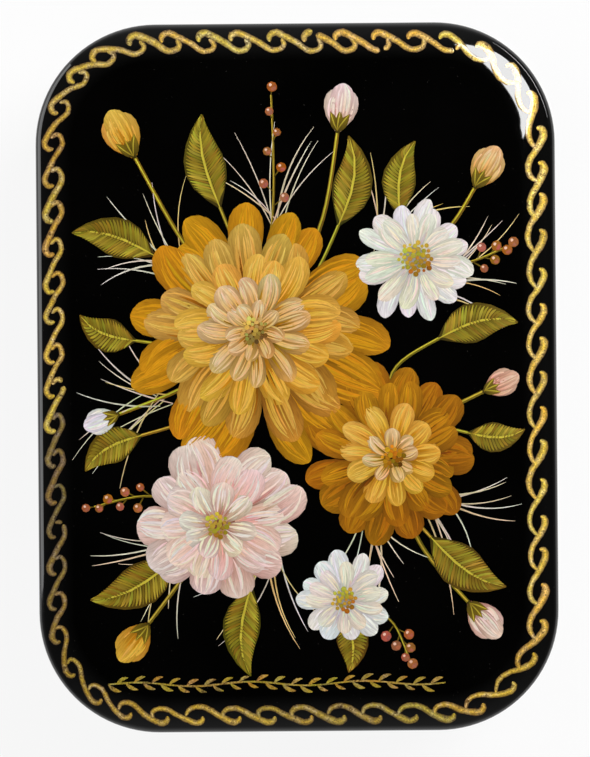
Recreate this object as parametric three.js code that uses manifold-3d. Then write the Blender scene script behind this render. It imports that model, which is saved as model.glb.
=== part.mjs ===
// Small lacquered papier-mache trinket box with a domed, hinged lid. Millimetres, +Z up.
// The underside's centre is the origin, X is the width, Y the length, and the hinge is on the -X side.
import * as THREE from "three";
import { mergeVertices } from "three/addons/utils/BufferGeometryUtils.js";
import Module from "manifold-3d";

// Outside of the closed box
const boxWidth = 55;
const boxLength = 75;
const cornerRadius = 12.75;
const bodyHeight = 21; // underside to the parting line
const lidRimHeight = 6.4;

// Wound walls and glued boards
const wallThickness = 3.4;
const floorThickness = 2.4;
const footRoll = 0.9; // radius round the underside's edge
const arris = 0.25; // broken edge along the parting line
const glueLine = 0.1; // between the wall and the liner
const linerThickness = 1;
const lipHeight = 1.8; // liner standing above the parting line
const lipClearance = 0.3; // lip to the inside of the lid

// Domed lid panel
const panelEdge = 1; // upright edge on top of the rim
const panelThickness = 2.2; // over the middle
const edgeRoll = 0.9; // radius from the upright edge into the dome
const shoulderTilt = THREE.MathUtils.degToRad(18); // dome's slope where the roll ends
const shoulderReach = 11.6; // from the roll to the nearly flat middle
const crownRise = 0.6; // the middle's own swell

// Let-in brass hinge
const hingeLength = 25;
const knuckleCount = 5;
const knuckleRadius = 1;
const knuckleGap = 0.2; // between neighbouring knuckles
const barrelSetback = 0.1; // barrel behind the outside wall
const barrelClearance = 0.15; // barrel to its groove
const leafThickness = 0.4;
const leafClearance = 0.1; // leaf to its slot
const bodyLeafDepth = 6.5; // below the hinge line
const lidLeafDepth = 5; // above the hinge line
const pinRadius = 0.45;
const pinClearance = 0.05;
const openAngle = 100; // degrees, where the two back bevels come together
const bevelSlack = 2; // degrees left between them

// Brass nails through wall and leaf
const nailRadius = 0.45;
const nailTip = 0.3;
const nailLength = 2.9;
const nailClearance = 0.1;
const nailSpacing = 15;
const bodyNailDrop = 4;
const lidNailRise = 3.2;

// Facets
const cornerSteps = 10; // even
const sharpCorner = 0.5; // least radius of an inset outline
const roundSides = 24;

const halfWidth = boxWidth / 2;
const halfLength = boxLength / 2;
const panelBase = bodyHeight + lidRimHeight;
const linerInset = wallThickness + glueLine;
const lidInnerInset = linerInset - lipClearance;
const hingeX = -halfWidth + barrelSetback + knuckleRadius;
const leafOuterX = hingeX + knuckleRadius - leafThickness;
const knuckleLength = (hingeLength - (knuckleCount - 1) * knuckleGap) / knuckleCount;

const wasm = await Module();
wasm.setup();

function solidOf(geometry) {
  const bare = geometry.clone();
  bare.deleteAttribute("normal");
  bare.deleteAttribute("uv");
  const merged = mergeVertices(bare, 1e-4);
  return new wasm.Manifold(
    new wasm.Mesh({
      numProp: 3,
      vertProperties: merged.attributes.position.array,
      triVerts: new Uint32Array(merged.index.array),
    }),
  );
}

function geometryOf(solid) {
  const mesh = solid.getMesh();
  const geometry = new THREE.BufferGeometry();
  geometry.setAttribute("position", new THREE.BufferAttribute(mesh.vertProperties, 3));
  geometry.setIndex(new THREE.BufferAttribute(mesh.triVerts, 1));
  return geometry;
}

function cutAway(geometry, tools) {
  let solid = solidOf(geometry);
  for (const tool of tools) solid = solid.subtract(solidOf(tool));
  return geometryOf(solid);
}

function joinAll(geometries) {
  let solid = solidOf(geometries[0]);
  for (const other of geometries.slice(1)) solid = solid.add(solidOf(other));
  return geometryOf(solid);
}

// The box's rounded rectangle, moved in from the outside wall, as points anticlockwise from above
function outline(inset) {
  const radius = Math.max(cornerRadius - inset, sharpCorner);
  const x = halfWidth - inset - radius;
  const y = halfLength - inset - radius;
  const path = new THREE.Path();
  path.absarc(x, y, radius, 0, Math.PI / 2);
  path.absarc(-x, y, radius, Math.PI / 2, Math.PI);
  path.absarc(-x, -y, radius, Math.PI, 1.5 * Math.PI);
  path.absarc(x, -y, radius, 1.5 * Math.PI, 2 * Math.PI);
  return path.getPoints(cornerSteps / 2);
}

function ring(inset, z) {
  return outline(inset).map((p) => new THREE.Vector3(p.x, p.y, z));
}

// Skin over rings of equal count, in order up the outside. A band returns to its first ring,
// and a plate is closed by a fan at each end.
function skin(rings, isBand) {
  const count = rings[0].length;
  const points = rings.flat();
  const faces = [];
  const steps = isBand ? rings.length : rings.length - 1;
  for (let step = 0; step < steps; step++) {
    const low = step * count;
    const high = ((step + 1) % rings.length) * count;
    for (let i = 0; i < count; i++) {
      const next = (i + 1) % count;
      faces.push(low + i, low + next, high + next);
      faces.push(low + i, high + next, high + i);
    }
  }
  if (!isBand) {
    const last = (rings.length - 1) * count;
    const bottom = points.push(middleOf(rings[0])) - 1;
    const top = points.push(middleOf(rings[rings.length - 1])) - 1;
    for (let i = 0; i < count; i++) {
      const next = (i + 1) % count;
      faces.push(bottom, next, i);
      faces.push(top, last + i, last + next);
    }
  }
  const geometry = new THREE.BufferGeometry().setFromPoints(points);
  geometry.setIndex(faces);
  return geometry;
}

function middleOf(points) {
  const middle = new THREE.Vector3();
  for (const point of points) middle.addScaledVector(point, 1 / points.length);
  return middle;
}

// A profile of [inset, z] corners carried round the box
function wall(profile) {
  return skin(profile.map(([inset, z]) => ring(inset, z)), true);
}

function floorBoard() {
  const rings = [];
  const rollSteps = 4;
  for (let i = 0; i <= rollSteps; i++) {
    const turn = (i / rollSteps) * (Math.PI / 2);
    rings.push(ring(footRoll * (1 - Math.sin(turn)), footRoll * (1 - Math.cos(turn))));
  }
  rings.push(ring(0, floorThickness));
  return skin(rings, false);
}

// Height that the gentle swell adds over the whole lid
function crown(point) {
  const across = 1 - (point.x / halfWidth) ** 2;
  const along = 1 - (point.y / halfLength) ** 2;
  return crownRise * across * along;
}

// Pressed panel: hollow underneath, with an upright edge, a rolled edge and a shoulder whose
// slope fades towards the nearly flat middle
function domedPanel() {
  const rollDepth = edgeRoll * (1 - Math.sin(shoulderTilt));
  const rollRise = edgeRoll * Math.cos(shoulderTilt);
  const shoulderRise = (Math.tan(shoulderTilt) * shoulderReach) / 3;
  const flatInset = rollDepth + shoulderReach;
  const rollTop = panelBase + panelEdge + rollRise;
  const flatTop = rollTop + shoulderRise;
  const hollowRise = flatTop - panelBase - panelThickness;
  const fade = (t) => 1 - (1 - t) ** 3;
  const shrinks = [0.3, 0.65, 1];
  const shoulderSteps = 6;
  const hollowSteps = 4;
  const rollSteps = 4;
  const swell = (points) => points.map((p) => p.setZ(p.z + crown(p)));
  const middleRing = (z, shrink) => ring(flatInset, z).map((p) => p.set(p.x * shrink, p.y * shrink, z));

  const rings = [];
  for (const shrink of shrinks) rings.push(swell(middleRing(panelBase + hollowRise, shrink)));
  for (let i = hollowSteps - 1; i >= 0; i--) {
    const t = i / hollowSteps;
    const inset = lidInnerInset + t * (flatInset - lidInnerInset);
    const hollow = ring(inset, panelBase + hollowRise * fade(t));
    rings.push(i > 0 ? swell(hollow) : hollow);
  }
  rings.push(ring(0, panelBase));
  for (let i = 0; i <= rollSteps; i++) {
    const tilt = Math.PI / 2 - (i / rollSteps) * (Math.PI / 2 - shoulderTilt);
    const rise = edgeRoll * Math.cos(tilt);
    rings.push(swell(ring(edgeRoll * (1 - Math.sin(tilt)), panelBase + panelEdge + rise)));
  }
  for (let i = 1; i < shoulderSteps; i++) {
    const t = i / shoulderSteps;
    rings.push(swell(ring(rollDepth + t * shoulderReach, rollTop + shoulderRise * fade(t))));
  }
  for (const shrink of [...shrinks].reverse()) rings.push(swell(middleRing(flatTop, shrink)));
  return skin(rings, false);
}

// Box with its low corner at the first point and its high corner at the second
function block(low, high) {
  const size = high.map((value, i) => value - low[i]);
  const middle = high.map((value, i) => (value + low[i]) / 2);
  return new THREE.BoxGeometry(...size).translate(...middle);
}

// Wedge that frees both back edges from the hinge line outwards
function backBevel() {
  const out = hingeX + halfWidth + 1;
  const spread = out * Math.tan(THREE.MathUtils.degToRad((openAngle + bevelSlack) / 2));
  const shape = new THREE.Shape();
  shape.moveTo(0, 0);
  shape.lineTo(-out, spread);
  shape.lineTo(-out, -spread);
  shape.closePath();
  const wedge = new THREE.ExtrudeGeometry(shape, { depth: boxLength, bevelEnabled: false });
  wedge.rotateX(Math.PI / 2);
  return wedge.translate(hingeX, halfLength, bodyHeight);
}

function barrelRod(radius, length, y) {
  return new THREE.CylinderGeometry(radius, radius, length, roundSides).translate(hingeX, y, bodyHeight);
}

function leafSlot(depth, side) {
  const reach = hingeLength / 2 + leafClearance;
  const far = bodyHeight + side * (depth + leafClearance);
  const near = bodyHeight - side;
  return block(
    [leafOuterX - leafClearance, -reach, Math.min(near, far)],
    [leafOuterX + leafThickness + leafClearance, reach, Math.max(near, far)],
  );
}

function nailBore(y, z) {
  const bore = new THREE.CylinderGeometry(
    nailRadius + nailClearance,
    nailRadius + nailClearance,
    2 * (nailLength + nailClearance),
    roundSides,
  );
  return bore.rotateZ(Math.PI / 2).translate(-halfWidth, y, z);
}

function nail(y, z) {
  const shank = new THREE.CylinderGeometry(nailRadius, nailTip, nailLength, roundSides);
  return shank.rotateZ(Math.PI / 2).translate(-halfWidth + nailLength / 2, y, z);
}

// Plate with one curled tab for each of its knuckles, bored for the pin. Side is 1 above the
// hinge line and -1 below it, and first is its first knuckle's place along the barrel.
function hingeLeaf(depth, side, first, nailZ) {
  const notch = knuckleRadius + barrelClearance;
  const half = hingeLength / 2;
  const back = leafOuterX + leafThickness;
  const span = (from, to) => [bodyHeight + side * from, bodyHeight + side * to].sort((a, b) => a - b);
  const [plateLow, plateHigh] = span(notch, depth);
  const pieces = [block([leafOuterX, -half, plateLow], [back, half, plateHigh])];
  for (let place = first; place < knuckleCount; place += 2) {
    const start = -half + place * (knuckleLength + knuckleGap);
    const [tabLow, tabHigh] = span(0, notch + leafThickness);
    pieces.push(block([leafOuterX, start, tabLow], [back, start + knuckleLength, tabHigh]));
    pieces.push(barrelRod(knuckleRadius, knuckleLength, start + knuckleLength / 2));
  }
  const bores = nailPlaces.map((y) => nailBore(y, nailZ));
  bores.push(barrelRod(pinRadius + pinClearance, hingeLength + 2, 0));
  return cutAway(joinAll(pieces), bores);
}

const nailPlaces = [-nailSpacing / 2, nailSpacing / 2];
const bodyNailZ = bodyHeight - bodyNailDrop;
const lidNailZ = bodyHeight + lidNailRise;
const groove = barrelRod(knuckleRadius + barrelClearance, hingeLength + 2 * barrelClearance, 0);

const bodyWall = cutAway(
  wall([
    [0, floorThickness],
    [0, bodyHeight - arris],
    [arris, bodyHeight],
    [wallThickness, bodyHeight],
    [wallThickness, floorThickness],
  ]),
  [backBevel(), groove, leafSlot(bodyLeafDepth, -1), ...nailPlaces.map((y) => nailBore(y, bodyNailZ))],
);

const lipLiner = wall([
  [linerInset, floorThickness],
  [linerInset, bodyHeight + lipHeight - arris],
  [linerInset + arris, bodyHeight + lipHeight],
  [linerInset + linerThickness, bodyHeight + lipHeight],
  [linerInset + linerThickness, floorThickness],
]);

const lidRim = cutAway(
  wall([
    [arris, bodyHeight],
    [0, bodyHeight + arris],
    [0, panelBase],
    [lidInnerInset, panelBase],
    [lidInnerInset, bodyHeight],
  ]),
  [backBevel(), groove, leafSlot(lidLeafDepth, 1), ...nailPlaces.map((y) => nailBore(y, lidNailZ))],
);

const blackLacquer = { color: 0x0b0a0a, roughness: 0.12, metalness: 0 };
const redLacquer = { color: 0x8f1d14, roughness: 0.25, metalness: 0 };
const agedBrass = { color: 0xb08a45, roughness: 0.35, metalness: 0.9 };

const box = new THREE.Group();

function place(parent, name, geometry, look) {
  const mesh = new THREE.Mesh(geometry, new THREE.MeshStandardMaterial(look));
  mesh.name = name;
  parent.add(mesh);
}

const body = new THREE.Group();
const lid = new THREE.Group();
box.add(body, lid);

place(body, "body_wall", bodyWall, blackLacquer);
place(body, "floor_panel", floorBoard(), blackLacquer);
place(body, "lip_liner", lipLiner, redLacquer);
place(body, "hinge_body_leaf", hingeLeaf(bodyLeafDepth, -1, 0, bodyNailZ), agedBrass);
place(body, "hinge_pin", barrelRod(pinRadius, hingeLength, 0), agedBrass);
place(lid, "lid_rim", lidRim, blackLacquer);
place(lid, "lid_panel", domedPanel(), blackLacquer);
place(lid, "hinge_lid_leaf", hingeLeaf(lidLeafDepth, 1, 1, lidNailZ), agedBrass);
nailPlaces.forEach((y, i) => {
  place(body, "body_nail_" + (i + 1), nail(y, bodyNailZ), agedBrass);
  place(lid, "lid_nail_" + (i + 1), nail(y, lidNailZ), agedBrass);
});

export default box;
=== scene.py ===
import random
from math import cos, dist, hypot, pi, radians, sin, sqrt, tan

import bmesh
import bpy
from mathutils import Euler, Matrix, Vector
from mathutils.geometry import interpolate_bezier


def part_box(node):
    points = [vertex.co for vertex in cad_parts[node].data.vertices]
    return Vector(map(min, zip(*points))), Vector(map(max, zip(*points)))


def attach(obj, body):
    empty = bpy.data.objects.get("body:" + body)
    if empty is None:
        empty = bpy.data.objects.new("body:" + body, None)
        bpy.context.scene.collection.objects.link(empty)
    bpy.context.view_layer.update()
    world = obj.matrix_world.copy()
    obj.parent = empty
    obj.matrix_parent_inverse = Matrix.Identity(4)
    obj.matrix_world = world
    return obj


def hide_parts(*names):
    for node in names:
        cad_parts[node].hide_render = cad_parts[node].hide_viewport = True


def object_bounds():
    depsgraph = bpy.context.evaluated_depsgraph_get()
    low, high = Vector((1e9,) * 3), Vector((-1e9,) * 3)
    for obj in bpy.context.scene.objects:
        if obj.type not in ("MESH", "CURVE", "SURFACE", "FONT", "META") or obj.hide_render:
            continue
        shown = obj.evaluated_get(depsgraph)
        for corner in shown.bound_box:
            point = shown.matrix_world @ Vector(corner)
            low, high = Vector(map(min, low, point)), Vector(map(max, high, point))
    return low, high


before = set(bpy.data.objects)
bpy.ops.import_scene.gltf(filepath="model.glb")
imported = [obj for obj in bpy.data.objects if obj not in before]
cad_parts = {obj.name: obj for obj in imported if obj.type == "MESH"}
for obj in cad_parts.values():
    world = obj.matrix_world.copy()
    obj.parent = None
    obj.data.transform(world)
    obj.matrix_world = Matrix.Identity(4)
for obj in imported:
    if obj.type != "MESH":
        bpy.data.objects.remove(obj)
cadLow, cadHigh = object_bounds()
print("frame:", len(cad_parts), "CAD nodes")

mm = 0.001  # pieces are modelled in millimetres and scaled to metres at the end
tiny = 0.001  # millimetres within which two heights count as one


def topOf(node):
    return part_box(node)[1].z / mm


# the closed box, shared by every shell; heights and sides come from the frame
box = {
    "width": (cadHigh.x - cadLow.x) / mm,
    "length": (cadHigh.y - cadLow.y) / mm,
    "corner": 12.75,
    "cornerSteps": 24,
    "floorTop": topOf("floor_panel"),
    "parting": topOf("body_wall"),
    "panelBase": topOf("lid_rim"),
    "arris": 0.25,
}
coreX, coreY = box["width"] / 2 - box["corner"], box["length"] / 2 - box["corner"]  # to the corners' middles

hingeLow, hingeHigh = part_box("hinge_pin")
hinge = {
    "x": (hingeLow.x + hingeHigh.x) / 2 / mm,
    "length": (hingeHigh.y - hingeLow.y) / mm,
    "pin": (hingeHigh.x - hingeLow.x) / 2 / mm,  # radii
    "knuckle": 1.0,
    "bore": 0.5,
    "knuckles": 5,
    "gap": 0.2,
    "groove": 1.15,
    "endPlay": 0.15,
    "leaf": 0.4,
    "lap": 0.1,  # of each tab on its leaf
    "slotPlay": 0.1,
    "nailPlay": 0.04,
    "bevel": 51,  # degrees of each back edge
    "tubeSides": 40,
    "pinSides": 32,
    "tubeSoft": 0.08,  # rounding of the ends
    "pinSoft": 0.15,
    "nailSoft": 0.12,
}
hingeHalf, hingeBack = hinge["length"] / 2, hinge["x"] + hinge["knuckle"]


# shared modelling helpers

def addObject(name, data):
    made = bpy.data.objects.new(name, data)
    bpy.context.scene.collection.objects.link(made)
    return made


def soften(bm, edges, offset, segments):
    bmesh.ops.bevel(bm, geom=edges, offset=offset, offset_type="OFFSET", affect="EDGES", segments=segments,
                    profile=0.5, material=-1)


def rimsOf(bm):
    # edges that turn by more than about 70 degrees
    return [e for e in bm.edges if e.calc_face_angle(0) > 1.2]


def shares(count):
    return [step / count for step in range(1, count + 1)]


def levelling(share):
    # rises steeply at first and levels out
    return 1 - (1 - share) ** 3


def block(low, high):
    bm = bmesh.new()
    bmesh.ops.create_cube(bm, size=1)
    low, high = Vector(low), Vector(high)
    bmesh.ops.scale(bm, vec=high - low, verts=bm.verts)
    bmesh.ops.translate(bm, vec=(low + high) / 2, verts=bm.verts)
    return bm


def roundedBlock(inset, low, high):
    # upright block with the box's rounded outline, moved in from the outside wall
    bm = block((inset - box["width"] / 2, inset - box["length"] / 2, low),
               (box["width"] / 2 - inset, box["length"] / 2 - inset, high))
    uprights = [e for e in bm.edges if abs(e.verts[0].co.z - e.verts[1].co.z) > tiny]
    soften(bm, uprights, box["corner"] - inset, box["cornerSteps"])
    return bm


def endFace(bm, upper):
    pick = max if upper else min
    return pick(bm.faces, key=lambda f: f.calc_center_median().z)


def stepIn(bm, face, inward, out):
    # one ring inwards, with the face moved along its normal; gives the new ring's faces
    made = bmesh.ops.inset_region(bm, faces=[face], thickness=inward, depth=out, use_even_offset=True,
                                  use_boundary=True)
    return made["faces"]


def follow(bm, face, path):
    # rings along a path of running distances inwards and outwards
    made = []
    lastIn = lastOut = 0
    for inward, out in path:
        made += stepIn(bm, face, inward - lastIn, out - lastOut)
        lastIn, lastOut = inward, out
    return made


def rod(radius, length, middle, way, sides=48):
    # closed rod along X or Y
    bm = bmesh.new()
    bmesh.ops.create_cone(bm, cap_ends=True, segments=sides, radius1=radius, radius2=radius, depth=length)
    turn = Matrix.Rotation(pi / 2, 3, "X" if way == "Y" else "Y")
    bmesh.ops.rotate(bm, matrix=turn, verts=bm.verts)
    bmesh.ops.translate(bm, vec=middle, verts=bm.verts)
    return bm


def addTo(bm, part):
    # joins another bmesh into this one
    mesh = bpy.data.meshes.new("joined")
    part.to_mesh(mesh)
    part.free()
    bm.from_mesh(mesh)
    bpy.data.meshes.remove(mesh)


def meshOf(name, bm):
    bmesh.ops.scale(bm, vec=(mm, mm, mm), verts=bm.verts)
    mesh = bpy.data.meshes.new(name)
    bm.to_mesh(mesh)
    bm.free()
    return mesh


def showPiece(name, mesh, materials, rides, nodes=(), sharp=30):
    piece = addObject(name, mesh)
    for material in materials:
        mesh.materials.append(material)
    mesh.polygons.foreach_set("use_smooth", [True] * len(mesh.polygons))
    mesh.set_sharp_from_angle(angle=radians(sharp))
    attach(piece, rides)
    if nodes:
        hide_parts(*nodes)


def cutOut(bm, tools):
    # takes each tool's shape out of the mesh with a boolean, and gives the cut mesh
    work = addObject("cutWork", meshOf("cutWork", bm))
    for tool in tools:
        shape = addObject("cutTool", meshOf("cutTool", tool))
        cut = work.modifiers.new("cut", "BOOLEAN")
        cut.object, cut.operation, cut.solver = shape, "DIFFERENCE", "EXACT"
        graph = bpy.context.evaluated_depsgraph_get()
        made = bpy.data.meshes.new_from_object(work.evaluated_get(graph))
        work.modifiers.clear()
        work.data = made
        bpy.data.objects.remove(shape)
    mesh = work.data
    bpy.data.objects.remove(work)
    return mesh


# finishes

def newMaterial(name):
    material = bpy.data.materials.new(name)
    material.use_nodes = True
    tree = material.node_tree
    return material, tree, tree.nodes["Principled BSDF"]


def wire(node, values):
    # links a socket; any other value fills the socket of its name, or else the node's own property
    for key, value in values.items():
        if isinstance(value, bpy.types.NodeSocket):
            node.id_data.links.new(value, node.inputs[key])
        elif key in node.inputs:
            node.inputs[key].default_value = value
        else:
            setattr(node, key, value)


def addNode(tree, kind, **settings):
    node = tree.nodes.new(kind)
    wire(node, settings)
    return node


def noiseOn(place, stretch, scale, detail, roughness):
    mapping = addNode(place.id_data, "ShaderNodeMapping", Vector=place, Scale=stretch)
    noise = addNode(place.id_data, "ShaderNodeTexNoise", Vector=mapping.outputs["Vector"], Scale=scale,
                    Detail=detail, Roughness=roughness)
    return noise.outputs["Fac"]


def objectNoise(tree, scale, detail, roughness=0.5, stretch=(1, 1, 1)):
    # noise on the piece's own coordinates, in cycles for each metre
    place = addNode(tree, "ShaderNodeTexCoord")
    return noiseOn(place.outputs["Object"], stretch, scale, detail, roughness)


def ramp(source, stops):
    # colour for each stop, or one number for a grey
    node = addNode(source.id_data, "ShaderNodeValToRGB", Fac=source)
    marks = node.color_ramp.elements
    while len(marks) < len(stops):
        marks.new(0.5)
    for mark, (spot, colour) in zip(marks, stops):
        mark.position = spot
        mark.color = (*colour, 1) if isinstance(colour, tuple) else (colour, colour, colour, 1)
    return node.outputs["Color"]


def spread(source, low, high, fromLow=0.0, fromHigh=1.0):
    node = addNode(source.id_data, "ShaderNodeMapRange", Value=source)
    wire(node, {"From Min": fromLow, "From Max": fromHigh, "To Min": low, "To Max": high})
    return node.outputs["Result"]


def times(first, second):
    mix = addNode(first.id_data, "ShaderNodeMix", data_type="RGBA", blend_type="MULTIPLY", Factor=1, A=first,
                  B=second)
    return mix.outputs["Result"]


def bump(source, strength, depth):
    node = addNode(source.id_data, "ShaderNodeBump", Height=source, Strength=strength, Distance=depth)
    return node.outputs["Normal"]


def blackLacquer():
    # many polished coats of black lacquer: deep, a little wavy, with fine dust in the last coat
    material, tree, shader = newMaterial("blackLacquer")
    tone = objectNoise(tree, 90, 4)
    specks = ramp(objectNoise(tree, 5200, 1, 0.3), [(0, 0), (0.785, 0), (0.82, 1)])
    deep = ramp(tone, [(0.3, (0.0004, 0.0004, 0.0003)), (0.75, (0.0011, 0.0010, 0.0009))])
    mix = addNode(tree, "ShaderNodeMix", data_type="RGBA", Factor=specks, A=deep, B=(0.022, 0.020, 0.018, 1))
    wire(shader, {"Base Color": mix.outputs["Result"], "Roughness": spread(tone, 0.02, 0.05),
                  "Normal": bump(objectNoise(tree, 260, 2), 0.12, 0.00004), "IOR": 1.52})
    return material


def redLacquer():
    # inside finish: red lacquer over the same board, brushed and less polished
    material, tree, shader = newMaterial("redLacquer")
    brushed = objectNoise(tree, 900, 3, 0.6, (1, 1, 0.12))
    tone = objectNoise(tree, 140, 5)
    colour = ramp(tone, [(0.28, (0.22, 0.011, 0.007)), (0.72, (0.40, 0.024, 0.013))])
    wire(shader, {"Base Color": colour, "Roughness": spread(brushed, 0.16, 0.34), "Coat Weight": 0.5,
                  "Coat Roughness": 0.12, "Normal": bump(brushed, 0.12, 0.00006)})
    return material


def agedBrass():
    # tarnished in patches, with file marks along the hinge
    material, tree, shader = newMaterial("agedBrass")
    tarnish = objectNoise(tree, 1400, 5, 0.65)
    filed = objectNoise(tree, 6000, 2, 0.5, (1, 0.1, 1))
    colour = ramp(tarnish,
                  [(0.25, (0.20, 0.12, 0.04)), (0.5, (0.52, 0.34, 0.12)), (0.8, (0.72, 0.52, 0.21))])
    wire(shader, {"Base Color": colour, "Roughness": spread(tarnish, 0.46, 0.24),
                  "Normal": bump(filed, 0.2, 0.00002), "Metallic": 1})
    return material


def goldPaint():
    # powdered gold in varnish, laid with a brush: grainy, with painted glints in the grain, thin in places,
    # under clear lacquer
    material, tree, shader = newMaterial("goldPaint")
    tint = addNode(tree, "ShaderNodeVertexColor", layer_name="paint")
    grain, worn = objectNoise(tree, 5200, 3, 0.6), objectNoise(tree, 1300, 3, 0.6)
    # grain tone of the powder; its pale, bluish top stop is a painted glint
    shade = ramp(grain, [(0.34, (0.46, 0.35, 0.17)), (0.5, (1, 0.91, 0.7)), (0.64, (1.3, 1.28, 1.6))])
    thin = ramp(worn, [(0.3, (0.33, 0.26, 0.14)), (0.42, (1.1, 1.12, 1.4)), (0.55, (1.02, 0.96, 0.4))])
    colour = times(times(tint.outputs["Color"], shade), thin)
    wire(shader, {"Base Color": colour, "Roughness": spread(grain, 0.62, 0.4), "Metallic": 0.25,
                  "Normal": bump(grain, 0.3, 0.00003), "Coat Weight": 1, "Coat Roughness": 0.03})
    return material


def tempera():
    # brushed tempera: colour from the stroke, broken by bristle streaks and grain, under clear lacquer
    material, tree, shader = newMaterial("tempera")
    tint = addNode(tree, "ShaderNodeVertexColor", layer_name="paint")
    stroke = addNode(tree, "ShaderNodeUVMap", uv_map="stroke")
    grain = noiseOn(stroke.outputs["UV"], (0.9, 7, 1), 1, 4, 0.6)
    shade = ramp(grain, [(0.28, (0.72, 0.68, 0.62)), (0.52, 1), (0.78, (1.18, 1.16, 1.12))])
    colour = times(tint.outputs["Color"], shade)
    wire(shader, {"Base Color": colour, "Roughness": spread(grain, 0.5, 0.34), "Coat Weight": 1,
                  "Coat Roughness": 0.03, "Specular IOR Level": 0.08,
                  "Normal": bump(grain, 0.25, 0.00003)})
    return material


lacquer, redInside, brass, gold, paint = blackLacquer(), redLacquer(), agedBrass(), goldPaint(), tempera()
print("finishes ready")


# lid: rim and domed panel as one lacquered shell, red inside
lid = {
    "wall": 3.2,
    "panelEdge": 1.0,
    "edgeRoll": 0.9,
    "rollSteps": 8,
    "shoulderTilt": 18,
    "shoulderReach": 11.6,
    "shoulderSteps": 16,
    "crown": 0.6,
    "panel": 2.2,  # thickness over the middle
    "hollowSteps": 8,
    "gridStep": 1.6,
    "gridShift": 0.37,  # share of a step, keeps the cuts off the outline's corners
    "slotDepth": 5.1,
}
lidTilt = radians(lid["shoulderTilt"])
rollIn = lid["edgeRoll"] * (1 - sin(lidTilt))
rollUp = lid["edgeRoll"] * cos(lidTilt)
shoulderUp = tan(lidTilt) * lid["shoulderReach"] / 3


def insetAt(x, y):
    # distance of a point inwards from the box's outline
    overX, overY = abs(x) - coreX, abs(y) - coreY
    return box["corner"] - hypot(max(overX, 0), max(overY, 0)) - min(max(overX, overY), 0)


def crownAt(x, y):
    return lid["crown"] * (1 - (2 * x / box["width"]) ** 2) * (1 - (2 * y / box["length"]) ** 2)


def lidTop(x, y):
    # height of the lid's outside over a point
    inset = insetAt(x, y)
    base = box["panelBase"] + lid["panelEdge"] + crownAt(x, y)
    if inset < rollIn:
        reach = min(max(1 - inset / lid["edgeRoll"], 0), 1)
        return base + lid["edgeRoll"] * sqrt(1 - reach * reach)
    return base + rollUp + shoulderUp * levelling(min((inset - rollIn) / lid["shoulderReach"], 1))


def gridFace(bm, level):
    # cuts the flat faces at one height into a grid, so that they can swell smoothly
    step = lid["gridStep"]
    for axis, size in ((0, box["width"]), (1, box["length"])):
        count = int(size / 2 / step)
        for cut in range(-count, count + 1):
            flat = [f for f in bm.faces if all(abs(v.co.z - level) < tiny for v in f.verts)]
            parts = list(dict.fromkeys(g for f in flat for g in (*f.verts, *f.edges))) + flat
            spot, way = Vector((0, 0, level)), Vector((0, 0, 0))
            spot[axis] = cut * step + lid["gridShift"] * step
            way[axis] = 1
            bmesh.ops.bisect_plane(bm, geom=parts, dist=tiny, plane_co=spot, plane_no=way)


def bevelBack(bm, upper):
    # frees the back edge from the hinge line outwards, then closes the cut
    turn = radians(hinge["bevel"])
    way = Vector((sin(turn), 0, cos(turn) if upper else -cos(turn)))
    cut = bmesh.ops.bisect_plane(bm, geom=bm.verts[:] + bm.edges[:] + bm.faces[:], dist=tiny,
                                 plane_co=(hinge["x"], 0, box["parting"]), plane_no=way, clear_inner=True)
    edges = [g for g in cut["geom_cut"] if isinstance(g, bmesh.types.BMEdge)]
    bmesh.ops.edgeloop_fill(bm, edges=edges)


def hingeTools(slotDepth, side, nails):
    # what the hinge takes out of a wall: barrel groove, leaf slot and nail bores
    play, front = hinge["slotPlay"], hingeBack - hinge["leaf"]
    ends = sorted((box["parting"] - side, box["parting"] + side * slotDepth))  # from 1 mm past the parting
    tools = [
        rod(hinge["groove"], hinge["length"] + 2 * hinge["endPlay"], (hinge["x"], 0, box["parting"]), "Y"),
        block((front - play, -hingeHalf - play, ends[0]), (hingeBack + play, hingeHalf + play, ends[1])),
    ]
    for place in (1, 2):
        low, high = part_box(nails + str(place))
        middle = (low + high) / 2 / mm
        radius = (high.y - low.y) / 2 / mm + hinge["nailPlay"]
        start = (low.x / mm, middle.y, middle.z)
        tools.append(rod(radius, 2 * (high.x - low.x) / mm, start, "X", hinge["pinSides"]))
    return tools


def hollowOut(bm, face, wall, depth):
    # softened edge and wall, then the inside, in the second material
    stepIn(bm, face, box["arris"], box["arris"])
    stepIn(bm, face, wall - box["arris"], 0)
    for wallFace in (face, *stepIn(bm, face, 0, -depth)):
        wallFace.material_index = 1


def finishShell(name, bm, side, slotDepth, nails, rides, nodes):
    # frees the back edge, makes room for the hinge and shows the shell
    bevelBack(bm, side > 0)
    mesh = cutOut(bm, hingeTools(slotDepth, side, nails))
    showPiece(name, mesh, (lacquer, redInside), rides, nodes)
    print(name + ":", len(mesh.polygons), "faces")


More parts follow.
